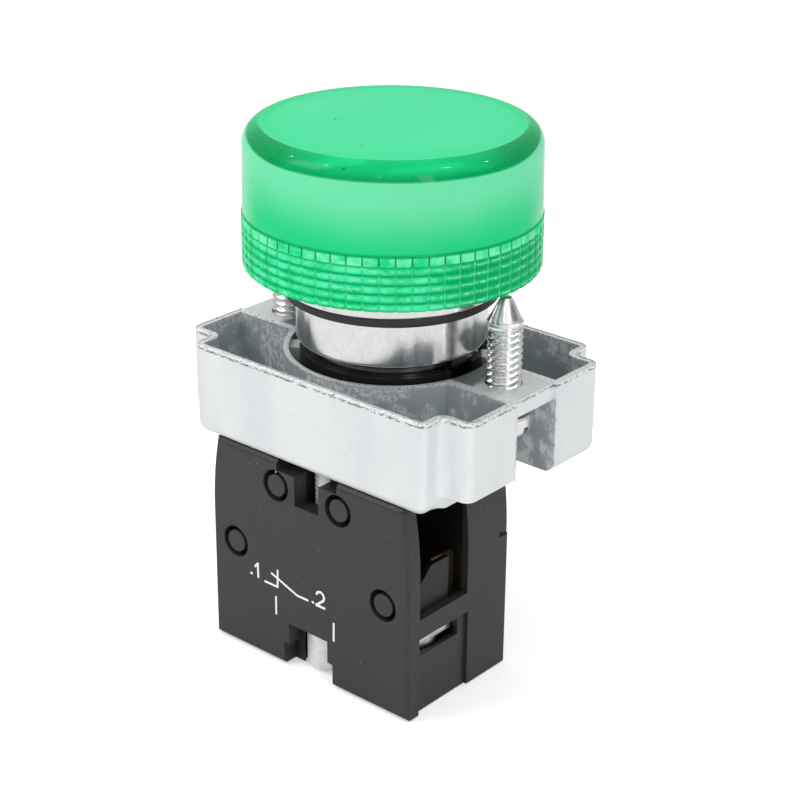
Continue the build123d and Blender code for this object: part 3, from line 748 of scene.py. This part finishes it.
def make_bezel():
    bore = 9.4
    skirt = 10.0
    skirt_foot = bezel_low.z
    leg_inner, leg_outer = skirt - 0.3, 10.55
    barrel = 11.0
    neck = 10.8
    flange = 12.8
    flange_foot = gasket_high.z
    flange_top = flange_foot + 1.6
    ring_foot = flange_top + 0.8
    ring_top = bezel_high.z
    ring = bezel_high.x
    crest = ring - 0.05
    cup = ring - 1.3
    cup_floor = ring_foot + 1.3
    thread_depth = 0.4
    profile = [(bore, cup_floor), (bore, 0.0), (bore, skirt_foot)]
    profile += [(bore + 0.1, skirt_foot), (skirt - 0.1, skirt_foot), (skirt, skirt_foot + 0.1)]
    profile += [(skirt, barrel_foot - 0.05), (skirt + 0.1, barrel_foot)]
    profile += arc((barrel - 0.3, barrel_foot + 0.3), 0.3, -90, 0, 4)
    profile += line((barrel, barrel_foot + 0.5), (barrel, -0.1), 10)
    profile += [(barrel, -0.05), (barrel - 0.02, 0.0), (neck, 0.0), (neck, flange_foot)]
    profile += [(flange - 0.15, flange_foot)]
    profile += arc((flange - 0.2, flange_foot + 0.2), 0.2, -60, 0, 3)
    profile += [(flange, flange_top), (ring - 0.2, ring_foot)]
    profile += line((crest, ring_foot + 0.15), (crest, ring_top - 0.1), 30)
    profile += [(ring - 0.3, ring_top), (cup, ring_top), (cup, cup_floor), (bore + 0.05, cup_floor)]

    def threaded(radius, height, angle):
        if abs(radius - crest) < 0.01 and ring_foot + 0.2 < height < ring_top - 0.15:
            return radius - thread_depth * thread_wave(height, angle, thread_pitch)
        return radius

    mesh = turned_mesh("chrome_bezel", profile, 144, shape=threaded)
    shell = hollowed(mesh)
    add_legs(shell, leg_inner, leg_outer, skirt_foot, barrel_foot + 0.1)
    settle(shell, mesh)
    piece = finished("chrome_bezel", mesh, materials["chrome"], "head", 32)
    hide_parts("bezel_body")


def add_legs(shell, inner, outer, low, high):
    """Two legs that stand on the skirt, one each side."""
    half = 1.8
    parts = 8
    steps = [-half + 2 * half * part / parts for part in range(parts + 1)]
    for side in (1, -1):
        rings = []
        for reach, height in ((inner, low), (inner, high), (outer, high), (outer, low)):
            rings.append([shell.verts.new((side * math.sqrt(reach ** 2 - y * y) * MM, y * MM, height * MM))
                          for y in steps])
        for first, second in zip(rings, rings[1:] + rings[:1]):
            for count in range(parts):
                shell.faces.new((first[count], first[count + 1], second[count + 1], second[count]))
        for count in (0, parts):
            shell.faces.new([ring[count] for ring in rings])


def make_gasket():
    bore = 11.1
    outer = gasket_high.x
    top = gasket_high.z
    profile = [(bore, top - 0.02), (bore, 0.02), (bore + 0.1, 0.0)]
    profile += arc((outer - 0.35, 0.35), 0.35, -90, 0, 4)
    profile += arc((outer - 0.3, top - 0.3), 0.3, 0, 90, 4)
    profile += [(bore + 0.1, top)]
    mesh = turned_mesh("rubber_gasket", profile, 144)
    settle(hollowed(mesh), mesh)
    piece = finished("rubber_gasket", mesh, materials["rubber"], "head", 40)
    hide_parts("panel_gasket")


# Burr along the bracket's rim

def rim_path():
    """Outer edge of the bracket's rim, as (x, y) points with rounded corners."""
    outer_round, inner_round = 1.2, 1.4
    half_length, half_depth = bracket_high.x, bracket_high.y
    half_face, half_wing = half_length - wing_reach, half_depth - corner_step
    inner_x, inner_y = half_face + inner_round, half_wing + inner_round
    quarter = [(half_length, 0.0)]
    quarter += line((half_length, 0.5), (half_length, half_wing - outer_round), 14)
    quarter += arc((half_length - outer_round, half_wing - outer_round), outer_round, 0, 90, 6)
    quarter += line((half_length - 1.5, half_wing), (inner_x, half_wing), 3)
    quarter += [(2 * inner_x - px, 2 * inner_y - py) for px, py in
                arc((inner_x, inner_y), inner_round, 90, 0, 6)]
    quarter += arc((half_face - outer_round, half_depth - outer_round), outer_round, 0, 90, 6)
    quarter += line((half_face - 1.5, half_depth), (0.0, half_depth), 36)
    mirrored = [(-px, py) for px, py in reversed(quarter)][1:]
    upper = quarter + [(0.0, half_depth)] + mirrored
    return upper + [(px, -py) for px, py in reversed(upper[1:-1])]


def make_flash():
    """Rough burr of cast metal along the bracket's outer rim, open at the two channels."""
    spacing = 0.16
    inset = 0.2
    sides = 6
    widest_gap = 0.5
    path = rim_path()
    fine = []
    for first, second in zip(path, path[1:] + path[:1]):
        count = max(1, round(math.dist(first, second) / spacing))
        fine += line(first, second, count)
    fine = [(px, py) for px, py in fine if abs(px) <= bracket_high.x - 0.5 or abs(py) >= channel]
    shell = bmesh.new()
    rings = []
    for count, (px, py) in enumerate(fine):
        after, before = fine[(count + 1) % len(fine)], fine[count - 1]
        along = Vector((after[0] - before[0], after[1] - before[1])).normalized()
        inward = Vector((-along.y, along.x))
        size = 0.05 + 0.06 * seed.random() ** 2
        middle = Vector((px, py)) + inward * inset
        height = rim_z + 0.01 + 0.03 * seed.random()
        loop = []
        for turn in range(sides):
            angle = math.tau * turn / sides
            across = size * (0.7 + 0.6 * seed.random()) * math.cos(angle)
            up = size * (0.7 + 0.6 * seed.random()) * math.sin(angle)
            loop.append(shell.verts.new(((middle.x + inward.x * across) * MM,
                                         (middle.y + inward.y * across) * MM, (height + up) * MM)))
        rings.append(loop)
    for count, ring in enumerate(rings):
        after = (count + 1) % len(rings)
        if math.dist(fine[count], fine[after]) > widest_gap:
            shell.faces.new(ring)
            shell.faces.new(rings[after])
            continue
        for turn in range(sides):
            beside = (turn + 1) % sides
            shell.faces.new((ring[turn], ring[beside], rings[after][beside], rings[after][turn]))
    mesh = bpy.data.meshes.new("rim_flash")
    settle(shell, mesh)
    finished("rim_flash", mesh, materials["flash"], "bracket")


# Threaded screws and the return spring

def thread_line(radius, low, high, pitch):
    """Profile points of a thread, eight to a turn."""
    return line((radius, low), (radius, high), round((high - low) / pitch * 8))


def cut_slot(piece, centre, foot, radius):
    """Cuts a screwdriver slot into the underside of a head."""
    width, depth = 0.8, 1.1
    cutter_mesh = bpy.data.meshes.new(piece.name + "_slot")
    shell = bmesh.new()
    made = bmesh.ops.create_cube(shell, size=1.0)
    bmesh.ops.scale(shell, verts=made["verts"], vec=(2.4 * radius * MM, width * MM, 2 * depth * MM))
    bmesh.ops.translate(shell, verts=made["verts"], vec=(centre[0] * MM, centre[1] * MM, foot * MM))
    shell.to_mesh(cutter_mesh)
    shell.free()
    cutter = bpy.data.objects.new(cutter_mesh.name, cutter_mesh)
    bpy.context.scene.collection.objects.link(cutter)
    cut = piece.modifiers.new("slot", "BOOLEAN")
    cut.object = cutter
    cut.operation = "DIFFERENCE"
    cut.solver = "EXACT"
    bpy.context.view_layer.update()
    evaluated = piece.evaluated_get(bpy.context.evaluated_depsgraph_get())
    result = bpy.data.meshes.new_from_object(evaluated)
    piece.modifiers.clear()
    piece.data = result
    smooth(result, 35)
    bpy.data.objects.remove(cutter)


def make_clamp_screw(word):
    node = "clamp_screw_" + word
    low, high = node_box(node)
    centre = ((low.x + high.x) / 2, (low.y + high.y) / 2)
    radius = 2.0
    pitch = 0.78
    thread_depth = 0.36
    fade_length = 0.6
    dome = 0.8
    head_foot = low.z
    head_top = head_foot + 2.3
    head_radius = (high.x - low.x) / 2
    cone_foot = high.z - 2.7
    thread_end = cone_foot - 0.45
    profile = [(0.3, head_foot), (head_radius - 0.9, head_foot)]
    profile += arc((head_radius - dome, head_foot + dome), dome, -90, 0, 6)
    profile += [(head_radius, head_top - 0.25), (head_radius - 0.2, head_top), (radius + 0.1, head_top)]
    profile += thread_line(radius, head_top + 0.05, thread_end, pitch)
    profile += [(radius - 0.05, cone_foot - 0.4), (radius, cone_foot - 0.25), (radius, cone_foot)]
    profile += line((radius - 0.12, cone_foot + 0.1), (0.72, high.z - 0.12), 6)
    profile += [(0.6, high.z - 0.05), (0.35, high.z)]

    def threaded(reach, height, angle):
        if abs(reach - radius) < 1e-6 and head_top < height < thread_end:
            fade = min(1.0, (thread_end - height) / fade_length)
            return reach - thread_depth * fade * thread_wave(height, angle, pitch)
        return reach

    mesh = turned_mesh(node + "_thread", profile, 48, centre, threaded)
    piece = finished(node + "_thread", mesh, materials["steel"], "screw_" + word, 50)
    cut_slot(piece, centre, head_foot, head_radius)
    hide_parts(node)


def make_fixing_screw():
    low, high = node_box("block_fixing_screw")
    centre = ((low.x + high.x) / 2, (low.y + high.y) / 2)
    radius = 1.75
    pitch = 0.6
    thread_depth = 0.3
    edge = 0.3
    head_radius = (high.x - low.x) / 2
    head_top = low.z + 4.7
    thread_end = high.z - 0.4
    profile = [(0.3, low.z), (head_radius - edge, low.z)]
    profile += arc((head_radius - edge, low.z + edge), edge, -90, 0, 4)
    profile += line((head_radius, low.z + 0.6), (head_radius, head_top - 0.35), 4)
    profile += arc((head_radius - edge, head_top - edge), edge, 0, 90, 4)
    profile += [(radius, head_top)]
    profile += thread_line(radius, head_top + 0.05, thread_end, pitch)
    profile += [(radius - 0.4, high.z - 0.1), (radius - 0.6, high.z)]

    def threaded(reach, height, angle):
        if abs(reach - radius) < 1e-6 and head_top + 0.1 < height < thread_end:
            return reach - thread_depth * thread_wave(height, angle, pitch)
        return reach

    mesh = turned_mesh("fixing_screw_thread", profile, 48, centre, threaded)
    piece = finished("fixing_screw_thread", mesh, materials["pale_steel"], "bracket", 50)
    cut_slot(piece, centre, low.z, head_radius)
    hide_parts("block_fixing_screw")


def make_return_spring():
    """Coiled wire with closed ends."""
    low, high = node_box("return_spring")
    middle_x, middle_y = (low.x + high.x) / 2, (low.y + high.y) / 2
    length = high.z - low.z
    wire = 0.2              # radius of the wire
    reach = (high.x - low.x) / 2 - wire
    turns, closed, per_turn, sides = 7.0, 1.0, 40, 10
    open_rise = length - 2 * wire - 4 * wire * closed
    rings = []
    for count in range(int(turns * per_turn) + 1):
        turn = count / per_turn
        angle = math.tau * turn
        open_share = min(max((turn - closed) / (turns - 2 * closed), 0.0), 1.0)
        end_share = min(turn, closed) + min(max(turn - turns + closed, 0.0), closed)
        height = low.z + wire + 2 * wire * end_share + open_rise * open_share
        ring = []
        for side in range(sides):
            around = math.tau * side / sides
            radius = reach + wire * math.cos(around)
            ring.append((middle_x + radius * math.cos(angle), middle_y + radius * math.sin(angle),
                         height + wire * math.sin(around)))
        rings.append(ring)
    mesh = tube_mesh("return_spring_wire", rings)
    piece = finished("return_spring_wire", mesh, materials["spring_steel"], "bracket", 40)
    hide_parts("return_spring")
    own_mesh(piece)


# White print on the front face: plain numbers and the contact's symbol

def print_stroke(name, points, width=0.27):
    """Painted line on the front face through (x, z) points, each stretch a little over the last."""
    thickness = 0.02
    overlap = 0.3           # of its width, by which a stretch runs past its points
    face_y = cover_low.y
    shell = bmesh.new()
    for first, second in zip(points, points[1:]):
        thickness += 0.003
        start, end = Vector(first), Vector(second)
        ahead = (end - start).normalized()
        beside = Vector((-ahead.y, ahead.x)) * width / 2
        start, end = start - ahead * width * overlap, end + ahead * width * overlap
        corners = [start - beside, end - beside, end + beside, start + beside]
        front = [shell.verts.new((c.x * MM, (face_y - thickness) * MM, c.y * MM)) for c in corners]
        back = [shell.verts.new((c.x * MM, (face_y + thickness) * MM, c.y * MM)) for c in corners]
        shell.faces.new(front)
        shell.faces.new(list(reversed(back)))
        for count in range(4):
            after = (count + 1) % 4
            shell.faces.new((front[after], front[count], back[count], back[after]))
    mesh = bpy.data.meshes.new(name)
    settle(shell, mesh)
    finished(name, mesh, materials["print"], "bracket", 30)


def make_print():
    numeral, dot = 0.29, 0.28
    print_stroke("number_one", [(-8.38, -32.95), (-7.93, -32.42), (-7.9, -34.25)], numeral)
    hook = arc((2.05, -33.13), 0.60, 165, -40, 8)
    print_stroke("number_two", hook + [(1.42, -34.42), (2.75, -34.42)], numeral)
    print_stroke("dot_one", [(-9.1, -34.1), (-8.92, -34.1)], dot)
    print_stroke("dot_two", [(0.80, -34.3), (0.98, -34.3)], dot)
    print_stroke("symbol_terminal_one", [(-6.8, -34.38), (-4.75, -34.38), (-4.70, -32.2)])
    print_stroke("symbol_blade", [(-5.7, -32.9), (-1.6, -34.35), (0.1, -34.35)])
    print_stroke("tick_left", [(-5.05, -35.8), (-5.05, -38.1)])
    print_stroke("tick_right", [(4.12, -35.85), (4.1, -38.15)])


make_lens()
make_bezel()
make_gasket()
make_clamp_screw("right")
make_clamp_screw("left")
make_fixing_screw()
make_return_spring()
softened("mounting_bracket", "bracket", "zinc", 0.22)
make_flash()
softened("contact_cover", "bracket", "block_plastic", 0.12)
softened("contact_housing", "bracket", "block_plastic", 0.12)
make_print()

node_slots = {part["node"]: part["material_slot"] for part in frame["record"]["subparts"]}
for node, piece in frame["nodes"].items():
    piece.data.materials.clear()
    # the fixed contacts get a darker brass than the rest
    darker_brass = node in ("fixed_contact_right", "fixed_contact_left")
    piece.data.materials.append(materials["dark_brass" if darker_brass else node_slots[node]])


# Floor, light and camera, in metres

white = (1.0, 1.0, 1.0)


def make_floor():
    half = 3.0
    gap = 0.0002            # below the block's foot
    level = block_foot * MM - gap
    mesh = bpy.data.meshes.new("floor")
    mesh.from_pydata([(-half, -half, level), (half, -half, level), (half, half, level), (-half, half, level)],
                     [], [(0, 1, 2, 3)])
    floor = bpy.data.objects.new("floor", mesh)
    bpy.context.scene.collection.objects.link(floor)
    material, shader = start_material("pale_floor")
    tree = material.node_tree
    colour = blend(tree, noise(tree, 60.0), (0.86, 0.86, 0.86), (0.9, 0.9, 0.9))
    plug(tree, shader.inputs["Base Color"], colour)
    shader.inputs["Roughness"].default_value = 0.9
    shader.inputs["Specular IOR Level"].default_value = 0.1
    seen = tree.nodes.new("ShaderNodeLightPath").outputs["Is Camera Ray"]
    shader.inputs["Emission Color"].default_value = (*white, 1)
    plug(tree, shader.inputs["Emission Strength"], maths(tree, "MULTIPLY", seen, 0.38))
    mesh.materials.append(material)


def make_world():
    """Pale studio with three dark flags for the metal to mirror, and white where the camera looks."""
    world = bpy.data.worlds.new("studio")
    bpy.context.scene.world = world
    world.use_nodes = True
    tree = world.node_tree
    tree.nodes.clear()
    output = tree.nodes.new("ShaderNodeOutputWorld")
    light = tree.nodes.new("ShaderNodeBackground")
    tree.links.new(light.outputs[0], output.inputs["Surface"])
    where = tree.nodes.new("ShaderNodeTexCoord").outputs["Generated"]
    split = tree.nodes.new("ShaderNodeSeparateXYZ")
    tree.links.new(where, split.inputs[0])
    x, y, z = split.outputs
    turn = maths(tree, "ARCTAN2", y, x)
    walls = blend(tree, step(tree, z, 0.1, 0.75), (0.66, 0.665, 0.67), white)

    def flag(middle, half, top):
        """Dark patch about a direction, both in degrees, from below the horizon up to top."""
        foot, soft = -0.35, 6
        away = maths(tree, "ABSOLUTE", maths(tree, "SUBTRACT", turn, math.radians(middle)))
        return all_of(tree, step(tree, away, math.radians(half + soft), math.radians(half - soft)),
                      step(tree, z, foot - 0.05, foot + 0.05), step(tree, z, top + 0.08, top - 0.08))

    dark = any_of(tree, flag(20, 26, 0.42), flag(-140, 14, 0.35), flag(-38, 9, 0.25))
    shade = blend(tree, dark, walls, (0.13, 0.15, 0.16))
    seen = tree.nodes.new("ShaderNodeLightPath").outputs["Is Camera Ray"]
    tree.links.new(blend(tree, seen, shade, white), light.inputs["Color"])
    plug(tree, light.inputs["Strength"], between(tree, seen, 0.72, 1.0))


def add_lamp(name, where, aim, size, energy):
    data = bpy.data.lights.new(name, "AREA")
    data.shape = "RECTANGLE"
    data.size, data.size_y = size
    data.energy = energy
    lamp = bpy.data.objects.new(name, data)
    bpy.context.scene.collection.objects.link(lamp)
    lamp.location = where
    lamp.rotation_mode = "QUATERNION"
    lamp.rotation_quaternion = (Vector(aim) - Vector(where)).to_track_quat("-Z", "Y")


def add_glints():
    """Small bright lamps, seen as points of light on the lens and the metal."""
    reach = 0.6
    aim = (0, 0, 0.01)
    directions = ((-165, 46, 0.2), (-127, 57, 0.2), (-60, 30, 0.1), (50, 47, 0.2))
    for count, (azimuth, elevation, energy) in enumerate(directions):
        turn, rise = math.radians(azimuth), math.radians(elevation)
        where = (reach * math.cos(rise) * math.cos(turn), reach * math.cos(rise) * math.sin(turn),
                 reach * math.sin(rise) + aim[2])
        add_lamp(f"glint_{count}", where, aim, (0.014, 0.014), energy)
    add_lamp("glint_bar", (0.27, 0.08, 0.54), aim, (0.03, 0.06), 0.3)


def make_camera():
    azimuth, elevation, roll = math.radians(40.8), math.radians(23.6), math.radians(0.4)
    distance = 0.230
    focal_px = 1982.0
    target = Vector((0, 0, -0.012))
    target_px = (391.5, 385.0)
    picture = 800.0
    back = Vector((math.sin(azimuth) * math.cos(elevation), -math.cos(azimuth) * math.cos(elevation),
                   math.sin(elevation)))
    data = bpy.data.cameras.new("camera")
    data.sensor_width = 36.0
    data.lens = focal_px / picture * data.sensor_width
    data.shift_x = (picture / 2 - target_px[0]) / picture
    data.shift_y = (target_px[1] - picture / 2) / picture
    data.clip_start, data.clip_end = 0.01, 20.0
    camera = bpy.data.objects.new("camera", data)
    bpy.context.scene.collection.objects.link(camera)
    camera.location = target + back * distance
    camera.rotation_mode = "QUATERNION"
    straight = (-back).to_track_quat("-Z", "Y")
    camera.rotation_quaternion = straight @ Matrix.Rotation(roll, 4, "Z").to_quaternion()
    bpy.context.scene.camera = camera


make_floor()
make_world()
light_aim = (0, 0, -0.01)
add_lamp("key", (-0.35, -0.45, 0.5), light_aim, (0.35, 0.35), 1.6)
add_lamp("side", (0.55, -0.25, 0.22), light_aim, (0.12, 0.45), 0.9)
add_glints()
make_camera()
bpy.context.scene.view_settings.view_transform = "Standard"
